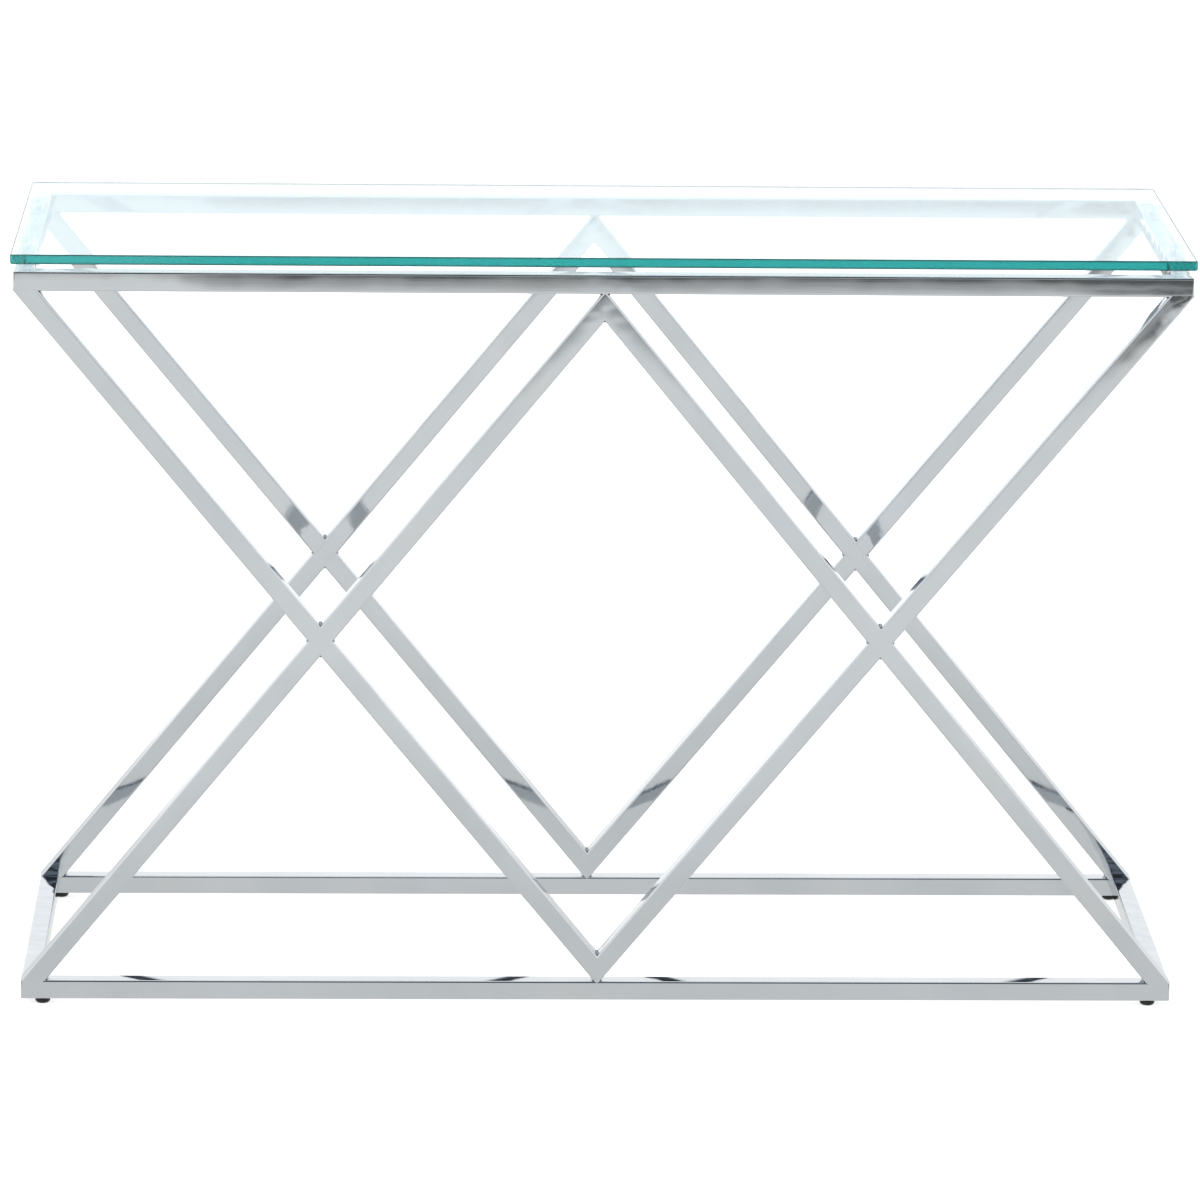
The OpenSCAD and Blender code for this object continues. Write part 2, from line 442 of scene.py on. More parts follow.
CREASE_ANGLE = math.radians(32)
SIDE_STEPS = 7
ON_AXIS = 1e-9


def new_piece(name, mesh):
    """An object for a mesh, in the scene and at the origin."""
    piece = bpy.data.objects.new(name, mesh)
    bpy.context.scene.collection.objects.link(piece)
    return piece


def flatten_normals(piece):
    """Large faces keep their own direction, and only the narrow ones turn between them."""
    modifier = piece.modifiers.new("Flat faces", "WEIGHTED_NORMAL")
    modifier.mode = "FACE_AREA"
    modifier.weight = 100
    modifier.keep_sharp = True


def bake_modifiers(piece):
    """Turns a piece and its modifiers into one plain mesh."""
    depsgraph = bpy.context.evaluated_depsgraph_get()
    evaluated = piece.evaluated_get(depsgraph)
    mesh = bpy.data.meshes.new_from_object(evaluated, depsgraph=depsgraph)
    piece.modifiers.clear()
    piece.data = mesh
    mesh.name = piece.name
    return piece


def piece_from_tree(name, tree, values, mesh=None):
    """A piece made by a Geometry Nodes tree and turned into a plain mesh."""
    piece = new_piece(name, mesh or bpy.data.meshes.new(name))
    modifier = piece.modifiers.new(tree.name, "NODES")
    modifier.node_group = tree
    set_modifier_inputs(modifier, values)
    flatten_normals(piece)
    return bake_modifiers(piece)


def turned_mesh(name, outline, centre, steps, material, crease_angle=CREASE_ANGLE):
    """A closed round piece from the outline of its half section, which runs from the axis at
    the bottom to the axis at the top."""
    shape = bmesh.new()
    rings = []
    for radius, height in outline:
        if radius < ON_AXIS:
            rings.append([shape.verts.new(centre + Vector((0, 0, height)))])
            continue
        ring = []
        for step in range(steps):
            turn = 2 * math.pi * step / steps
            spoke = Vector((radius * math.cos(turn), radius * math.sin(turn), height))
            ring.append(shape.verts.new(centre + spoke))
        rings.append(ring)
    for lower, upper in zip(rings, rings[1:]):
        for step in range(steps):
            after = (step + 1) % steps
            corners = [lower[step % len(lower)], lower[after % len(lower)]]
            corners += [upper[after % len(upper)], upper[step % len(upper)]]
            shape.faces.new(list(dict.fromkeys(corners)))
    bmesh.ops.recalc_face_normals(shape, faces=shape.faces)
    for face in shape.faces:
        face.smooth = True
    for edge in shape.edges:
        edge.smooth = edge.calc_face_angle(0) < crease_angle
    mesh = bpy.data.meshes.new(name)
    shape.to_mesh(mesh)
    shape.free()
    mesh.materials.append(material)
    return mesh


def arc(centre_radius, centre_height, radius, start, end, steps):
    """Points of an arc in a half section. Angles are in degrees from straight outwards."""
    points = []
    for step in range(steps + 1):
        angle = math.radians(start + (end - start) * step / steps)
        points.append(
            (centre_radius + radius * math.cos(angle), centre_height + radius * math.sin(angle))
        )
    return points


def finish_piece(piece, body, slot, *nodes):
    """Gives a piece its body and hides the nodes that it stands for. Its slot is not used."""
    if nodes:
        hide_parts(*nodes)
    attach(piece, body)


def turned_pieces(kind, shape, outline_of, settings, steps, material, slot):
    """Turns one round piece at each of the table's four corners."""
    for y_name, _ in SIDES_Y:
        for x_name, _ in SIDES_X:
            node = f"{kind}_{y_name}_{x_name}"
            low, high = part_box(node)
            outline = outline_of(settings, low, high)
            centre = Vector(((low.x + high.x) / 2, (low.y + high.y) / 2, 0))
            mesh = turned_mesh(f"{node}_{shape}", outline, centre, steps, material)
            piece = new_piece(f"{node}_{shape}", mesh)
            flatten_normals(piece)
            bake_modifiers(piece)
            finish_piece(piece, "frame", slot, node)


# ---- Materials ----


def polish_marks_group():
    """Soft clouds and fine marks of a hand-polished or moulded surface."""
    name = "Polish marks"
    if name in bpy.data.node_groups:
        return bpy.data.node_groups[name]
    inputs = {"Vector": ["Vector"], "Float": ["Cloud size", "Mark size", "Seed"]}
    outputs = {"Float": ["Clouds", "Hue", "Marks", "Height"]}
    tree, given, result = new_tree(name, "ShaderNodeTree", inputs, outputs)
    cloud_scale = maths(tree, "DIVIDE", 1.0, given["Cloud size"])
    mark_scale = maths(tree, "DIVIDE", 1.0, given["Mark size"])
    swell_scale = maths(tree, "MULTIPLY", cloud_scale, 1.7)

    def noise(scale, detail, seed_step):
        inputs = {
            "Vector": given["Vector"], "W": maths(tree, "ADD", given["Seed"], seed_step),
            "Scale": scale, "Detail": detail,
        }
        return add_step(tree, "ShaderNodeTexNoise", inputs, noise_dimensions="4D")

    values = (
        mapped(tree, noise(cloud_scale, 2.0, 0.0), 0.3, 0.7),
        mapped(tree, noise(cloud_scale, 1.0, 3.0), 0.3, 0.7),
        mapped(tree, noise(mark_scale, 4.0, 7.0), 0.45, 0.75),
        noise(swell_scale, 1.0, 11.0),
    )
    for value, socket in zip(values, result):
        tree.links.new(value, socket)
    return tree


def new_material(name):
    """A material with a Principled BSDF, its nodes' tree and the object's own coordinates."""
    material = bpy.data.materials.new(name)
    material.use_nodes = True
    tree = material.node_tree
    place = tree.nodes.new("ShaderNodeTexCoord").outputs["Object"]
    return material, tree, node_of_type(tree, "BSDF_PRINCIPLED"), place


def node_of_type(tree, kind):
    """The first node of a kind."""
    return next(node for node in tree.nodes if node.type == kind)


def add_group(tree, group, inputs):
    """A node group placed in a material, with its sockets filled."""
    return add_node(tree, "ShaderNodeGroup", inputs, node_tree=group).outputs


def add_marks(tree, place, cloud_size, mark_size, seed):
    """The polish marks group, placed in a material."""
    inputs = {"Vector": place, "Cloud size": cloud_size, "Mark size": mark_size, "Seed": seed}
    return add_group(tree, polish_marks_group(), inputs)


def bumped(tree, height, strength, distance):
    """The direction of a surface with a height that changes over it."""
    inputs = {"Height": height, "Strength": strength, "Distance": distance}
    return add_step(tree, "ShaderNodeBump", inputs)


def tinted(colour, change=(1.0, 1.0, 1.0)):
    """A colour with each channel multiplied, ready for a socket."""
    return tuple(channel * factor for channel, factor in zip(colour, change)) + (1.0,)


def polish_lines_group():
    """Fine lines left along a tube by the polishing belt. Its vector runs along X."""
    name = "Polish lines"
    if name in bpy.data.node_groups:
        return bpy.data.node_groups[name]
    inputs = {"Vector": ["Vector"], "Float": ["Line length", "Line width"]}
    tree, given, result = new_tree(name, "ShaderNodeTree", inputs, {"Float": ["Lines"]})
    across = maths(tree, "DIVIDE", 1.0, given["Line width"])
    along = maths(tree, "DIVIDE", 1.0, given["Line length"])
    stretch = vector_of(tree, along, across, across)
    inputs = {"Vector": vector_maths(tree, "MULTIPLY", given["Vector"], stretch), "Scale": 1.0}
    lines = add_step(tree, "ShaderNodeTexNoise", inputs)
    tree.links.new(mapped(tree, lines, 0.3, 0.7), result["Lines"])
    return tree


def ground_welds_group():
    """Where the welds were ground and polished by hand: 1 at a joint, 0 away from it."""
    name = "Ground welds"
    if name in bpy.data.node_groups:
        return bpy.data.node_groups[name]
    sizes = ["Crossing", "Half length", "Half height", "Middle height", "Reach"]
    inputs = {"Vector": ["Vector"], "Float": sizes}
    tree, given, result = new_tree(name, "ShaderNodeTree", inputs, {"Float": ["Mask"]})
    x, _, z = parts_of(tree, given["Vector"])
    away = maths(tree, "ABSOLUTE", maths(tree, "SUBTRACT", z, given["Middle height"]))
    here = vector_of(tree, maths(tree, "ABSOLUTE", x), away)
    joints = (
        (given["Crossing"], 0.0), (0.0, given["Half height"]),
        (given["Half length"], given["Half height"]),
    )
    nearest = 1.0
    for joint in joints:
        gap = distance(tree, here, vector_of(tree, *joint))
        nearest = maths(tree, "MINIMUM", nearest, gap)
    near = maths(tree, "DIVIDE", nearest, given["Reach"])
    tree.links.new(eased(tree, near, 0.2, 1.0, 1.0, 0.0), result["Mask"])
    return tree


def add_ground_welds(tree, place, crossing):
    """The ground welds group, placed in a material with the frame's own sizes."""
    inputs = {
        "Vector": place, "Crossing": abs(crossing.x), "Half length": HALF_LENGTH,
        "Half height": (HIGH_Z - LOW_Z) / 2, "Middle height": (HIGH_Z + LOW_Z) / 2,
        "Reach": 0.055,
    }
    return add_group(tree, ground_welds_group(), inputs)[0]


def polished_plating(tubes, name, turn, weld_waves):
    """Bright plating over hand-polished tube, with faint clouds, soft waves that grow at the
    ground welds, and fine lines along the tube. The turn brings its length to the X axis."""
    material, tree, shader, place = new_material(name)
    marks = add_marks(tree, place, cloud_size=0.08, mark_size=0.012, seed=1.0)
    turned = add_step(tree, "ShaderNodeMapping", {"Vector": place, "Rotation": turn})
    inputs = {"Vector": turned, "Line length": 0.09, "Line width": 0.0014}
    line = add_group(tree, polish_lines_group(), inputs)["Lines"]

    warm = tinted(tubes.colour, (1.012, 1.0, 0.985))
    cool = tinted(tubes.colour, (0.98, 0.995, 1.025))
    dim = tinted(tubes.colour, (0.9, 0.915, 0.93))
    hue = mixed_colour(tree, marks["Hue"], warm, cool)
    cloud_share, line_share = 0.85, 0.18
    cloud = maths(tree, "MULTIPLY", marks["Clouds"], cloud_share)
    shade = maths(tree, "MULTIPLY_ADD", line, line_share, cloud)
    smoothest, line_roughness, mark_roughness = 0.035, 0.02, 0.03
    gloss = maths(tree, "MULTIPLY_ADD", line, line_roughness, smoothest)

    near_weld = add_ground_welds(tree, place, lattice_lines(tubes)[-1])
    inputs = {"Vector": place, "Scale": 45.0, "Detail": 1.0}
    ripple = add_step(tree, "ShaderNodeTexNoise", inputs)
    swell_height, line_height = 0.2, 0.0015
    height = maths(tree, "MULTIPLY", marks["Height"], swell_height)
    ground = maths(tree, "MULTIPLY", maths(tree, "MULTIPLY", ripple, near_weld), weld_waves)
    height = maths(tree, "ADD", height, ground)
    height = maths(tree, "MULTIPLY_ADD", line, line_height, height)
    fill_sockets(tree, shader, {
        "Base Color": mixed_colour(tree, shade, hue, dim), "Metallic": 1.0,
        "Roughness": maths(tree, "MULTIPLY_ADD", marks["Marks"], mark_roughness, gloss),
        "Normal": bumped(tree, height, strength=1.0, distance=0.001),
    })
    return material


def plated_weld(settings):
    """The same plating over a rough weld bead."""
    material, tree, shader, place = new_material("plated_weld")
    marks = add_marks(tree, place, cloud_size=0.004, mark_size=0.0015, seed=5.0)
    dark, light = tinted(settings.colour, (0.6, 0.6, 0.62)), tinted(settings.colour)
    fill_sockets(tree, shader, {
        "Base Color": mixed_colour(tree, marks["Clouds"], dark, light), "Metallic": 1.0,
        "Roughness": mapped(tree, marks["Marks"], 0.0, 1.0, 0.12, 0.3),
        "Normal": bumped(tree, marks["Height"], strength=0.5, distance=0.0003),
    })
    return material


GLASS_INDEX = 1.575
PLASTIC_INDEX = 1.49


def clear_glass(settings, name, colour, smoothest, roughest, clearness=1.0):
    """Clear float glass whose depth tints light towards blue-green, polished or ground."""
    material, tree, shader, place = new_material(name)
    marks = add_marks(tree, place, cloud_size=0.25, mark_size=0.03, seed=9.0)
    fill_sockets(tree, shader, {
        "Base Color": tinted(colour), "IOR": GLASS_INDEX, "Transmission Weight": clearness,
        "Roughness": mapped(tree, marks["Marks"], 0.0, 1.0, smoothest, roughest),
        "Normal": bumped(tree, marks["Height"], strength=0.01, distance=0.0004),
    })
    inputs = {"Color": tinted(settings.tint), "Density": settings.tint_density}
    depth = add_step(tree, "ShaderNodeVolumeAbsorption", inputs)
    tree.links.new(depth, node_of_type(tree, "OUTPUT_MATERIAL").inputs["Volume"])
    return material


def clear_plastic():
    """Clear moulded plastic with a faint haze."""
    material, tree, shader, place = new_material("clear_pad_plastic")
    marks = add_marks(tree, place, cloud_size=0.006, mark_size=0.002, seed=13.0)
    fill_sockets(tree, shader, {
        "Base Color": (0.86, 0.89, 0.91, 1.0), "IOR": PLASTIC_INDEX, "Transmission Weight": 1.0,
        "Roughness": mapped(tree, marks["Marks"], 0.0, 1.0, 0.02, 0.1),
        "Normal": bumped(tree, marks["Height"], strength=0.15, distance=0.0002),
    })
    return material


def moulded_black(settings):
    """Black moulded plastic with a fine grain and worn shine."""
    material, tree, shader, place = new_material("moulded_black_plastic")
    marks = add_marks(tree, place, cloud_size=0.005, mark_size=0.0009, seed=17.0)
    light = tinted(settings.colour, (1.9, 1.9, 1.9))
    dark = tinted(settings.colour, (0.8, 0.8, 0.8))
    grain = maths(tree, "ADD", marks["Height"], maths(tree, "MULTIPLY", marks["Marks"], 0.3))
    fill_sockets(tree, shader, {
        "Base Color": mixed_colour(tree, marks["Clouds"], dark, light),
        "Roughness": mapped(tree, marks["Marks"], 0.0, 1.0, 0.3, 0.5),
        "Specular IOR Level": 0.25,
        "Normal": bumped(tree, grain, strength=0.35, distance=0.0002),
    })
    return material


# ---- Plan of the frame ----


def lattice_lines(tubes):
    """The climbing diagonal of the left half, on the XZ plane: the two ends of its upper edge,
    its direction, the direction across it to the right, and where it crosses its partner."""
    low_end = Vector((-HALF_LENGTH, 0, LOW_Z))
    high_end = Vector((-tubes.apex_flat / 2, 0, HIGH_Z))
    along = (high_end - low_end).normalized()
    across = Vector((along.z, 0, -along.x))
    middle_low = low_end + across * TUBE_WIDTH / 2
    rise = (LOW_Z + HIGH_Z) / 2 - middle_low.z
    crossing = middle_low + along * rise / along.z
    return low_end, high_end, along, across, crossing


def rail_plans():
    """Name, ends of the middle line, cuts and hole places of every rail."""
    spare = TUBE_WIDTH
    levels = (("top", (TOP_RAIL[0].z + TOP_RAIL[1].z) / 2),)
    levels += (("bottom", (BOTTOM_RAIL[0].z + BOTTOM_RAIL[1].z) / 2),)
    for level, z in levels:
        for name, side in SIDES_Y:
            ends = [Vector((end * (HALF_LENGTH + spare), side * RAIL_Y, z)) for end in (-1, 1)]
            cuts = [
                (Vector((end * HALF_LENGTH, side * HALF_DEPTH, z)), Vector((end, -side, 0)))
                for end in (-1, 1)
            ]
            feet = [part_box(f"foot_{name}_{x_name}") for x_name, _ in SIDES_X]
            holes = [
                Vector(((low.x + high.x) / 2, side * RAIL_Y, BOTTOM_RAIL[0].z))
                for low, high in feet if level == "bottom"
            ]
            yield f"{level}_rail_{name}", ends, cuts, holes
        for name, side in SIDES_X:
            ends = [Vector((side * RAIL_X, end * (HALF_DEPTH + spare), z)) for end in (-1, 1)]
            cuts = [
                (Vector((side * HALF_LENGTH, end * HALF_DEPTH, z)), Vector((-side, end, 0)))
                for end in (-1, 1)
            ]
            pads = [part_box(f"pad_{y_name}_{name}") for y_name, _ in SIDES_Y]
            holes = [
                Vector((side * RAIL_X, (low.y + high.y) / 2, TOP_RAIL[1].z))
                for low, high in pads if level == "top"
            ]
            yield f"{level}_rail_{name}", ends, cuts, holes


def tube_section(name, tubes):
    """The outline of the tube across its length: four slightly swollen sides, and four round
    edges that meet them without a step."""
    half = TUBE_WIDTH / 2
    reach = half - tubes.edge_radius
    slope = 2 * tubes.crown / reach
    radius = (tubes.edge_radius - tubes.crown) / (math.cos(slope) - math.sin(slope))
    middle = reach - radius * math.sin(slope)
    border = 0.96
    side = [border * (2 * step / SIDE_STEPS - 1) for step in range(SIDE_STEPS + 1)]
    quarter = [Vector((half - tubes.crown * u * u, reach * u, 0)) for u in [-1, *side, 1]]
    turn = math.pi / 2 - 2 * slope
    for step in range(1, tubes.edge_steps):
        angle = slope + turn * step / tubes.edge_steps
        quarter.append(
            Vector((middle + radius * math.cos(angle), middle + radius * math.sin(angle), 0))
        )
    points = []
    for number in range(4):
        spin = Matrix.Rotation(math.pi / 2 * number, 3, "Z")
        points += [spin @ point for point in quarter]
    edges = [(index, (index + 1) % len(points)) for index in range(len(points))]
    mesh = bpy.data.meshes.new(name)
    mesh.from_pydata(points, edges, [])
    return mesh


def flipped(point):
    """A place on the lattice turned upside down, between the two rails."""
    return Vector((point.x, point.y, LOW_Z + HIGH_Z - point.z))


def diagonal_plans(tubes):
    """Name, ends and cuts of every diagonal. Each cut end reaches into its neighbour's rounded
    edge, as the weld that fills the groove there does before it is ground flush."""
    low_end, high_end, along, across, crossing = lattice_lines(tubes)
    reach = tubes.edge_radius
    half = TUBE_WIDTH / 2
    spare = along * 2.5 * TUBE_WIDTH
    down, up, right = Vector((0, 0, -1)), Vector((0, 0, 1)), Vector((1, 0, 0))
    middle_low, middle_high = low_end + across * half, high_end + across * half
    fall_high, fall_low = flipped(middle_low), flipped(middle_high)
    fall_spare = Vector((spare.x, 0, -spare.z))
    on_low = Vector((low_end.x, 0, LOW_Z - reach))
    on_high = Vector((high_end.x, 0, HIGH_Z + reach))
    under_high = Vector((low_end.x, 0, HIGH_Z + reach))
    over_low = Vector((high_end.x, 0, LOW_Z - reach))
    at_middle = Vector((0, 0, HIGH_Z))
    at_middle_low = Vector((0, 0, LOW_Z))
    beside = across * (half - reach)
    left_half = (
        (
            "long_diagonal", (middle_low - spare, middle_high + spare),
            [(on_low, down), (on_high, up), (at_middle, right)],
        ),
        (
            "upper_strut", (fall_high - fall_spare, crossing + fall_spare),
            [(under_high, up), (crossing - beside, across)],
        ),
        (
            "lower_strut", (crossing - fall_spare, fall_low + fall_spare),
            [(over_low, down), (crossing + beside, -across), (at_middle_low, right)],
        ),
    )
    for x_name, x_side in SIDES_X:
        mirror = Vector((-x_side, 1, 1))
        for y_name, y_side in SIDES_Y:
            place = Vector((0, y_side * RAIL_Y, 0))
            for name, ends, cuts in left_half:
                placed_ends = [end * mirror + place for end in ends]
                placed_cuts = [(point * mirror + place, way * mirror) for point, way in cuts]
                yield f"{name}_{y_name}_{x_name}", placed_ends, placed_cuts, []


def weld_corners(tubes):
    """The inner corners that hold a weld bead, in the left half on the XZ plane: the corner,
    the way out of it, and half of its opening angle."""
    low_end, high_end, along, across, crossing = lattice_lines(tubes)
    slope = math.atan2(along.z, along.x)
    half = TUBE_WIDTH / 2
    left, right = Vector((-1, 0, 0)), Vector((1, 0, 0))
    down, up = Vector((0, 0, -1)), Vector((0, 0, 1))
    beside, above = half / math.sin(slope), half / math.cos(slope)
    low_edge = low_end + across * TUBE_WIDTH
    apex_inside = Vector((0, 0, low_edge.z - low_edge.x * along.z / along.x))
    foot_end = Vector((-HALF_LENGTH + TUBE_WIDTH / math.sin(slope), 0, LOW_Z))
    out_of_foot = Vector((math.cos(slope / 2), 0, math.sin(slope / 2)))
    out_of_apex = Vector((-math.cos(slope / 2), 0, -math.sin(slope / 2)))
    corners = [
        (crossing + left * beside, left, slope), (crossing + right * beside, right, slope),
        (crossing + up * above, up, math.pi / 2 - slope),
        (crossing + down * above, down, math.pi / 2 - slope),
    ]
    for turn in (False, True):
        for corner, way, opening in (
            (foot_end, out_of_foot, slope / 2),
            (high_end, out_of_apex, slope / 2),
            (apex_inside, down, math.pi / 2 - slope),
        ):
            if turn:
                corner, way = flipped(corner), Vector((way.x, 0, -way.z))
            corners.append((corner, way, opening))
    return corners


def seam_mesh(name, tubes, bead_radius, y_side):
    """One edge for each weld bead of a lattice, running from its front to its back."""
    near = y_side * (HALF_DEPTH - tubes.edge_radius / 2)
    far = y_side * (HALF_DEPTH - TUBE_WIDTH + tubes.edge_radius / 2)
    points, edges = [], []
    for x_side in (-1, 1):
        for corner, way, opening in weld_corners(tubes):
            if x_side > 0 and abs(corner.x) < 1e-6:
                continue
            middle = corner + way * (0.8 * bead_radius / math.sin(opening))
            for y in (near, far):
                points.append(Vector((-x_side * middle.x, y, middle.z)))
            edges.append((len(points) - 2, len(points) - 1))
    mesh = bpy.data.meshes.new(name)
    mesh.from_pydata(points, edges, [])
    return mesh


# ---- Operators ----


class TABLE_OT_stage(bpy.types.Operator):
    """Sets up the camera, the pale floor and the soft studio light"""

    bl_idname = "console_table.stage"
    bl_label = "Studio"

    def execute(self, context):
        studio = context.scene.table_studio
        make_camera(studio)
        make_floor(studio)
        make_world()
        make_light()
        set_up_render(context.scene)
        return {"FINISHED"}


def make_camera(studio):
    """A camera at eye height that looks down at the table from the front."""
    data = bpy.data.cameras.new("camera")
    data.lens = studio.focal_length
    data.sensor_width = 36.0
    data.clip_end = 200.0
    camera = new_piece("camera", data)
    turn = Matrix.Rotation(-studio.camera_heading, 4, "Z")
    turn = turn @ Matrix.Rotation(math.pi / 2 - studio.camera_tilt, 4, "X")
    turn = turn @ Matrix.Rotation(studio.camera_roll, 4, "Z")
    camera.matrix_world = Matrix.Translation(studio.camera_place) @ turn
    bpy.context.scene.camera = camera


# What shining surfaces see of the floor is a painted reflection: where each change starts and
# ends, in metres from the middle of the table, and how bright the painted paper is at both. It
# reaches further on the left.
LEFT_REACH = (-0.66, -0.46, 0.95, 0.0)
RIGHT_REACH = (0.7, 1.15, 0.0, 0.35)
PAINTED_FAR_LIGHT = (-6.5, -5.2, 0.85, 0.0)
TABLE_SHADE = (-1.5, -0.3, 1.0, 0.87)
PAINTED_BACK_LIGHT = (1.6, 2.6, 1.0, 1.42)
# A painted dark patch on the floor, seen only in reflections, where they show a stand on the
# right.
PAINTED_STAND_PLACE = (1.1, -3.64, 0)
PAINTED_STAND_SHADE = (0.08, 0.3, 0.25, 1.0)
BRIGHTEST = 1.02


def floor_material(studio):
    """Pale paper that is plain and bright to the eye. What shines sees a painted reflection of it:
    painted shade under the table, painted light on the paper behind, a painted dark patch for a
    stand on the right, and a painted dim gap past its near end."""
    material, tree, shader, place = new_material("pale_paper")
    fill_sockets(tree, shader, {
        "Base Color": (0.86, 0.86, 0.86, 1.0), "Roughness": 0.9, "Specular IOR Level": 0.1,
    })
    glow = add_step(tree, "ShaderNodeEmission", {"Color": (1, 1, 1, 1), "Strength": 0.6})
    paper = add_step(tree, "ShaderNodeAddShader", {0: shader.outputs[0], 1: glow})
    x, y, _ = parts_of(tree, place)
    # Painted dimming: past the paper's near end reflections see the floor darker, and the gap
    # starts further away on the left.
    longer_left = eased(tree, x, *LEFT_REACH)
    shorter_right = eased(tree, x, *RIGHT_REACH)
    reach = maths(tree, "ADD", maths(tree, "MULTIPLY", y, -1.0), shorter_right)
    reach = maths(tree, "SUBTRACT", reach, longer_left)
    end = studio.paper_reach
    soft = eased(tree, reach, end, end + 0.9, BRIGHTEST, 0.52)
    hard = eased(tree, reach, end + 0.9, end + 1.5, 0.0, 0.38)
    level = maths(tree, "SUBTRACT", soft, hard)
    # Painted light again on the floor far in front of the table, near the camera.
    level = maths(tree, "ADD", level, eased(tree, y, *PAINTED_FAR_LIGHT))
    level = maths(tree, "MINIMUM", level, BRIGHTEST)
    # Painted shade: the dark patch on the right that reflections see on the floor.
    stand = eased(tree, distance(tree, place, PAINTED_STAND_PLACE), *PAINTED_STAND_SHADE)
    level = maths(tree, "MULTIPLY", level, stand)
    # Painted shade under the table, and painted light on the paper behind it.
    shade = maths(tree, "MULTIPLY", eased(tree, y, *TABLE_SHADE), eased(tree, y, *PAINTED_BACK_LIGHT))
    level = maths(tree, "MULTIPLY", level, shade)
    # The painted reflection: an emission at the painted level, which only shining surfaces see.
    seen = add_step(tree, "ShaderNodeEmission", {"Color": (1.0, 1.0, 0.99, 1), "Strength": level})
    both = eye_or_mirror(tree, paper, seen)
    tree.links.new(both, node_of_type(tree, "OUTPUT_MATERIAL").inputs["Surface"])
    return material


def eye_or_mirror(tree, plain, seen):
    """One look for the eye and another one for what shines."""
    mirror = tree.nodes.new("ShaderNodeLightPath").outputs["Is Glossy Ray"]
    return add_step(tree, "ShaderNodeMixShader", {0: mirror, 1: plain, 2: seen})


def make_floor(studio):
    """A wide square floor under the feet."""
    half = studio.floor_size / 2
    corners = [(-half, -half, 0), (half, -half, 0), (half, half, 0), (-half, half, 0)]
    mesh = bpy.data.meshes.new("floor")
    mesh.from_pydata(corners, [], [(0, 1, 2, 3)])
    mesh.materials.append(floor_material(studio))
    floor = new_piece("floor", mesh)


# How bright the room is, and its colour at heights from the horizon, 0, to straight up, 1.
ROOM_LIGHT = 1.5
ROOM_COLOURS = (
    (0.06, (0.94, 0.94, 0.95)), (0.12, (0.83, 0.875, 0.92)), (0.23, (0.83, 0.875, 0.92)),
    (0.28, (0.85, 0.855, 0.865)), (0.7, (0.75, 0.75, 0.755)),
)
# The dim strip: where it fades out towards the back and to its sides, where it darkens on its
# way up, and its colours below and above that.
STRIP_BACK = (-0.3, -0.1, 1.0, 0.0)
STRIP_SIDE = (0.24, 0.34, 1.0, 0.0)
STRIP_CLIMB = (0.272, 0.3)
STRIP_LOW = (0.16, 0.185, 0.225, 1)
STRIP_HIGH = (0.03, 0.036, 0.046, 1)


def make_world():
    """White all round. What shines sees a bright room, bluish low down, with one dim strip that
    climbs from the floor behind the camera to the ceiling and darkens on its way up."""
    world = bpy.data.worlds.new("studio")
    world.use_nodes = True
    tree = world.node_tree
    tree.nodes.clear()
    direction = tree.nodes.new("ShaderNodeTexCoord").outputs["Generated"]
    x, y, z = parts_of(tree, direction)
    front = eased(tree, y, *STRIP_BACK)
    strip = eased(tree, maths(tree, "ABSOLUTE", x), *STRIP_SIDE)
    dim = maths(tree, "MULTIPLY", front, strip)
    strip = mixed_colour(tree, eased(tree, z, *STRIP_CLIMB), STRIP_LOW, STRIP_HIGH)
    seen = mixed_colour(tree, dim, ramp(tree, z, ROOM_COLOURS), strip)
    plain = add_step(tree, "ShaderNodeBackground", {"Color": (1, 1, 1, 1), "Strength": 1.04})
    studio = add_step(tree, "ShaderNodeBackground", {"Color": seen, "Strength": ROOM_LIGHT})
    output = tree.nodes.new("ShaderNodeOutputWorld")
    tree.links.new(eye_or_mirror(tree, plain, studio), output.inputs["Surface"])
    bpy.context.scene.world = world


def make_light():
    """One wide soft light above the table."""
    data = bpy.data.lights.new("softbox", "AREA")
    data.shape = "RECTANGLE"
    data.size = 2.4
    data.size_y = 1.6
    data.energy = 22.0
    light = new_piece("softbox", data)
    light.location = (-0.6, -1.2, 2.8)
    aim = Vector((0, 0, 0.3)) - light.location
    light.rotation_mode = "QUATERNION"
    light.rotation_quaternion = aim.to_track_quat("-Z", "Y")
    light.visible_camera = False
    light.visible_glossy = False


def set_up_render(scene):
    """Plain colours, and enough bounces for light that runs along inside the glass."""
    scene.view_settings.view_transform = "Standard"
    scene.cycles.max_bounces = 32
    scene.cycles.glossy_bounces = 24
    scene.cycles.transmission_bounces = 32


def tube_direction(ends):
    """Which way a tube runs, in a maker's words."""
    run = ends[1] - ends[0]
    if abs(run.y) > abs(run.x):
        return "crossways"
    if abs(run.z) < 1e-6:
        return "lengthways"
    return "rising" if run.x * run.z > 0 else "falling"


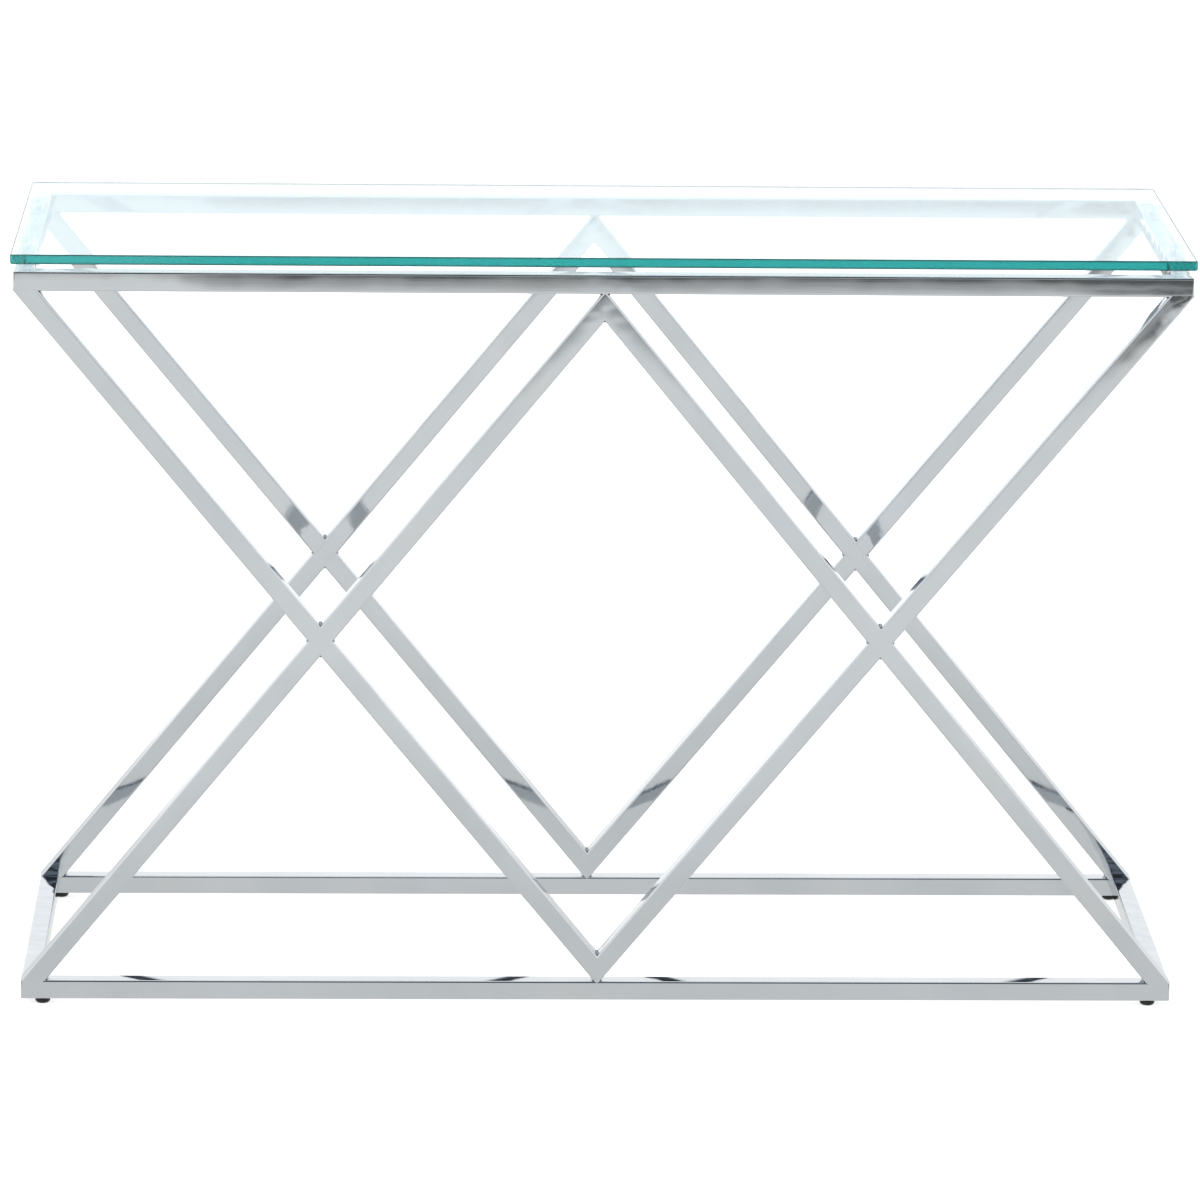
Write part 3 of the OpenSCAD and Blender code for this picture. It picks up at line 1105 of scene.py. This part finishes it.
class TABLE_OT_tubes(bpy.types.Operator):
    """Builds the rails, long diagonals and struts of polished square tube"""

    bl_idname = "console_table.tubes"
    bl_label = "Square tubes"

    def execute(self, context):
        tubes = context.scene.table_tubes
        along = lattice_lines(tubes)[2]
        slope = math.atan2(along.z, along.x)
        # The turn that brings each tube's length to X, and how wavy its ground welds are.
        looks = {
            "lengthways": ((0, 0, 0), 0.07), "crossways": ((0, 0, -math.pi / 2), 0.8),
            "rising": ((0, slope, 0), 0.4), "falling": ((0, -slope, 0), 0.4),
        }
        platings = {
            way: polished_plating(tubes, f"plating_{way}", *look) for way, look in looks.items()
        }
        tree = cut_tube_tree()
        # The ground plan stays a hair outside the tubes' own sides, so it only rounds corners.
        margin = 0.00003
        plan = (2 * (HALF_LENGTH + margin), 2 * (HALF_DEPTH + margin), 1.0)
        shared = {
            "Width": TUBE_WIDTH, "Wall": tubes.wall, "Edge radius": tubes.edge_radius,
            "Edge steps": tubes.edge_steps, "Plan": plan,
            "Corner radius": tubes.corner_radius + margin, "Cutter size": 0.2,
            "Hole depth": 6 * tubes.wall, "Crease angle": CREASE_ANGLE,
        }
        for name, ends, cuts, holes in [*rail_plans(), *diagonal_plans(tubes)]:
            values = {**shared, "Start": ends[0], "End": ends[1]}
            values["Material"] = platings[tube_direction(ends)]
            values["Hole diameter"] = tubes.peg_hole if "top" in name else tubes.plug_hole
            cuts = cuts + [(FAR_AWAY, Vector((0, 0, -1)))] * (len(CUT_NUMBERS) - len(cuts))
            for number, (place, direction) in zip(CUT_NUMBERS, cuts):
                values[f"Cut {number} place"] = place
                values[f"Cut {number} direction"] = direction.normalized()
            holes = holes + [FAR_AWAY] * (len(HOLE_NUMBERS) - len(holes))
            for number, place in zip(HOLE_NUMBERS, holes):
                values[f"Hole {number} place"] = place
            section = tube_section(f"{name}_tube", tubes)
            piece = piece_from_tree(f"{name}_tube", tree, values, section)
            finish_piece(piece, "frame", "polished_chrome", name)
        return {"FINISHED"}


class TABLE_OT_welds(bpy.types.Operator):
    """Lays the small weld beads in the corners between the tubes"""

    bl_idname = "console_table.welds"
    bl_label = "Weld beads"

    def execute(self, context):
        welds = context.scene.table_welds
        tubes = context.scene.table_tubes
        values = {
            "Bead radius": welds.bead_radius, "Ripple pitch": welds.ripple_pitch,
            "Ripple depth": welds.ripple_depth, "Step": welds.ripple_pitch / 6,
            "Crease angle": math.radians(60), "Material": plated_weld(welds),
        }
        tree = weld_bead_tree()
        for name, side in SIDES_Y:
            seams = seam_mesh(f"weld_beads_{name}", tubes, welds.bead_radius, side)
            piece = piece_from_tree(f"weld_beads_{name}", tree, values, seams)
            finish_piece(piece, "frame", "polished_chrome")
        return {"FINISHED"}


def rounded_outline(half_x, half_y, radius, steps):
    """Points round a rectangle with round corners, anticlockwise from above."""
    points = []
    for quarter, (x_side, y_side) in enumerate(((1, 1), (-1, 1), (-1, -1), (1, -1))):
        middle = Vector((x_side * (half_x - radius), y_side * (half_y - radius), 0))
        for step in range(steps + 1):
            angle = math.pi / 2 * (quarter + step / steps)
            points.append(middle + Vector((math.cos(angle), math.sin(angle), 0)) * radius)
    return points


class TABLE_OT_glass(bpy.types.Operator):
    """Builds the glass top with its ground edges"""

    bl_idname = "console_table.glass"
    bl_label = "Glass top"

    def execute(self, context):
        glass = context.scene.table_glass
        low, high = GLASS
        arris = glass.arris
        levels = ((low.z, arris), (low.z + arris, 0), (high.z - arris, 0), (high.z, arris))
        shape = bmesh.new()
        rings = []
        for z, inset in levels:
            outline = rounded_outline(
                high.x - inset, high.y - inset, glass.corner_radius - inset, 8
            )
            rings.append([shape.verts.new(point + Vector((0, 0, z))) for point in outline])
        count = len(rings[0])
        for band, (lower, upper) in enumerate(zip(rings, rings[1:])):
            for step in range(count):
                after = (step + 1) % count
                face = shape.faces.new((lower[step], lower[after], upper[after], upper[step]))
                face.material_index = 1 if band == 1 else 2
        shape.faces.new(rings[0][::-1])
        shape.faces.new(rings[-1])
        shape.normal_update()
        for face in shape.faces:
            if abs(face.normal.x) > 0.9:
                face.material_index = 3
        for face in shape.faces:
            face.smooth = True
        for edge in shape.edges:
            edge.smooth = edge.calc_face_angle(0) < CREASE_ANGLE
        mesh = bpy.data.meshes.new("glass_plate")
        shape.to_mesh(mesh)
        shape.free()
        white = (1.0, 1.0, 1.0)
        mesh.materials.append(clear_glass(glass, "clear_float_glass", white, 0.0, 0.004))
        mesh.materials.append(clear_glass(glass, "satin_glass_edge", white, 0.07, 0.11))
        bevel = clear_glass(glass, "ground_glass_bevel", glass.ground_tint, 0.12, 0.18)
        mesh.materials.append(bevel)
        clearness = glass.end_clearness
        end = clear_glass(glass, "ground_glass_end", glass.end_tint, 0.2, 0.3, clearness)
        mesh.materials.append(end)
        piece = new_piece("glass_plate", mesh)
        flatten_normals(piece)
        bake_modifiers(piece)
        finish_piece(piece, "glass", "clear_glass", "glass_top")
        return {"FINISHED"}


class TABLE_OT_pads(bpy.types.Operator):
    """Turns the clear pads that the glass lies on"""

    bl_idname = "console_table.pads"
    bl_label = "Clear pads"

    def execute(self, context):
        pads = context.scene.table_pads
        turned_pieces("pad", "disc", pad_outline, pads, 72, clear_plastic(), "clear_pad")
        return {"FINISHED"}


def pad_outline(pads, low, high):
    """Half section of a pad: a thin-walled cup turned upside down, with a boss and a peg inside
    it, round rims and a shallow dish on top."""
    radius = (high.x - low.x) / 2
    rim = pads.rim_radius
    base = TOP_RAIL[1].z + pads.gap
    top = high.z - pads.gap
    peg = pads.peg_diameter / 2
    dish = 4 * pads.gap
    inside = radius - pads.wall
    ceiling = top - pads.wall
    points = [(0, low.z), (peg * 0.6, low.z), (peg, low.z + peg * 0.4), (peg, base + rim)]
    points += [(peg * 1.5, base + 2 * rim), (peg * 1.5, ceiling - rim / 2)]
    points += [(peg * 1.5 + rim / 2, ceiling), (inside - rim, ceiling)]
    points += [(inside, ceiling - rim), (inside, base)]
    points += arc(radius - rim / 2, base + rim / 2, rim / 2, -90, 0, 4)
    points += arc(radius - rim, top - rim, rim, 0, 90, 6)
    points += [(radius * 0.72, top), (radius * 0.66, top - dish), (0, top - dish)]
    return points


class TABLE_OT_feet(bpy.types.Operator):
    """Turns the black moulded feet with their plugs"""

    bl_idname = "console_table.feet"
    bl_label = "Feet"

    def execute(self, context):
        feet = context.scene.table_feet
        turned_pieces("foot", "dome", foot_outline, feet, 64, moulded_black(feet), "black_foot")
        return {"FINISHED"}


def foot_outline(feet, low, high):
    """Half section of a foot: a flat sole, a round dome, a straight rim and a barbed plug."""
    radius = (high.x - low.x) / 2 + feet.flare
    top = BOTTOM_RAIL[0].z
    dome = top - feet.rim_height
    lip = 0.0003
    plug = feet.plug_diameter / 2
    points = [(0, low.z)]
    points += arc(radius - dome, dome, dome, -90, 0, 12)
    points += arc(radius - lip, top - lip, lip, 0, 90, 3)
    points += [(plug, top), (plug, high.z - plug * 0.5), (plug * 0.6, high.z), (0, high.z)]
    return points


class TABLE_PT_panel(bpy.types.Panel):
    """Lists the table's pieces and their settings"""

    bl_idname = "TABLE_PT_panel"
    bl_label = "Console Table"
    bl_space_type = "VIEW_3D"
    bl_region_type = "UI"
    bl_category = "Console Table"

    def draw(self, context):
        for operator, settings in PIECES:
            box = self.layout.box()
            box.operator(operator.bl_idname)
            group = getattr(context.scene, settings)
            for name in group.__annotations__:
                box.prop(group, name)


PIECES = (
    (TABLE_OT_stage, "table_studio"),
    (TABLE_OT_tubes, "table_tubes"),
    (TABLE_OT_welds, "table_welds"),
    (TABLE_OT_glass, "table_glass"),
    (TABLE_OT_pads, "table_pads"),
    (TABLE_OT_feet, "table_feet"),
)
SETTINGS = {
    "table_tubes": TubeSettings,
    "table_welds": WeldSettings,
    "table_glass": GlassSettings,
    "table_pads": PadSettings,
    "table_feet": FootSettings,
    "table_studio": StudioSettings,
}
CLASSES = (*SETTINGS.values(), *(operator for operator, _ in PIECES), TABLE_PT_panel)


def register():
    """Registers the classes and puts the settings on the scene."""
    for item in CLASSES:
        bpy.utils.register_class(item)
    for name, group in SETTINGS.items():
        setattr(bpy.types.Scene, name, PointerProperty(type=group))


def unregister():
    """Takes the settings and the classes away again."""
    for name in SETTINGS:
        delattr(bpy.types.Scene, name)
    for item in reversed(CLASSES):
        bpy.utils.unregister_class(item)


def main():
    """Builds the whole table."""
    register()
    bpy.ops.console_table.stage()
    bpy.ops.console_table.tubes()
    bpy.ops.console_table.welds()
    bpy.ops.console_table.glass()
    bpy.ops.console_table.pads()
    bpy.ops.console_table.feet()
    bpy.context.view_layer.update()


if __name__ == "__main__":
    main()
